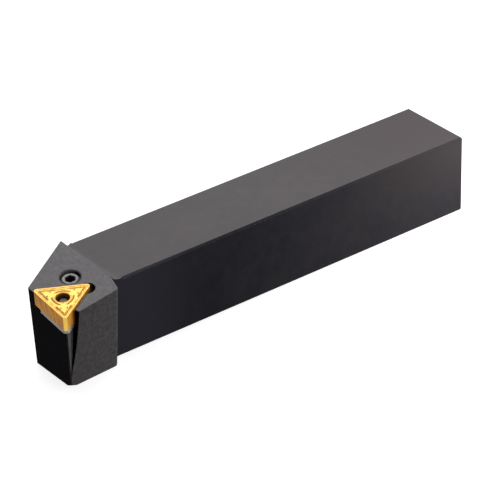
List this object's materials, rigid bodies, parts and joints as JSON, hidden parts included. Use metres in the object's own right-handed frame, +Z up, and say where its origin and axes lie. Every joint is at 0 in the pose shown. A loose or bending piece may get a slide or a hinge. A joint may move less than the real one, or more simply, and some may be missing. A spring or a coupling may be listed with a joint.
{
  "type": "turning tool holder",
  "caption": "Square-shank right-hand turning tool holder with a lever-locked triangular insert, shim and clamping screw.",
  "frame": {"origin": "on the underside of the square shank, on its centreline, half way between its rear end and the cutting nose", "axes": "+X along the shank towards its rear end, +Z up, so the cutting nose is at -X on the -Y side"},
  "size_m": [0.15, 0.032, 0.0289],
  "materials": {
    "holder_steel": "dark grey hardened steel, ground and lightly blackened",
    "insert_coating": "gold coated sintered carbide, satin",
    "shim_carbide": "ground carbide, light grey",
    "small_steel": "hardened spring and lever steel, phosphated",
    "screw_steel": "turned alloy steel screw, lightly blackened"
  },
  "bodies": {
    "holder": {"holder_body": "holder_steel", "insert": "insert_coating", "shim": "shim_carbide", "shim_pin": "small_steel"},
    "screw": {"lever_screw": "screw_steel"},
    "lever": {"lever": "small_steel"}
  },
  "joints": [
    {"name": "lever_screw_turn", "type": "hinge", "parent": "holder", "child": "screw", "pos_m": [-0.06286, -0.00503, 0.02606], "axis": [-0.104, -0.104, 0.9891], "range_deg": [0, 110]},
    {"name": "lever_rock", "type": "hinge", "parent": "holder", "child": "lever", "pos_m": [-0.06848, -0.01033, 0.01031], "axis": [0.6909, -0.7229, -0.0034], "range_deg": [0, 2.2]}
  ],
  "couplings": [
    {"joint": "lever_rock", "follows": "lever_screw_turn", "ratio": 0.01965}
  ]
}
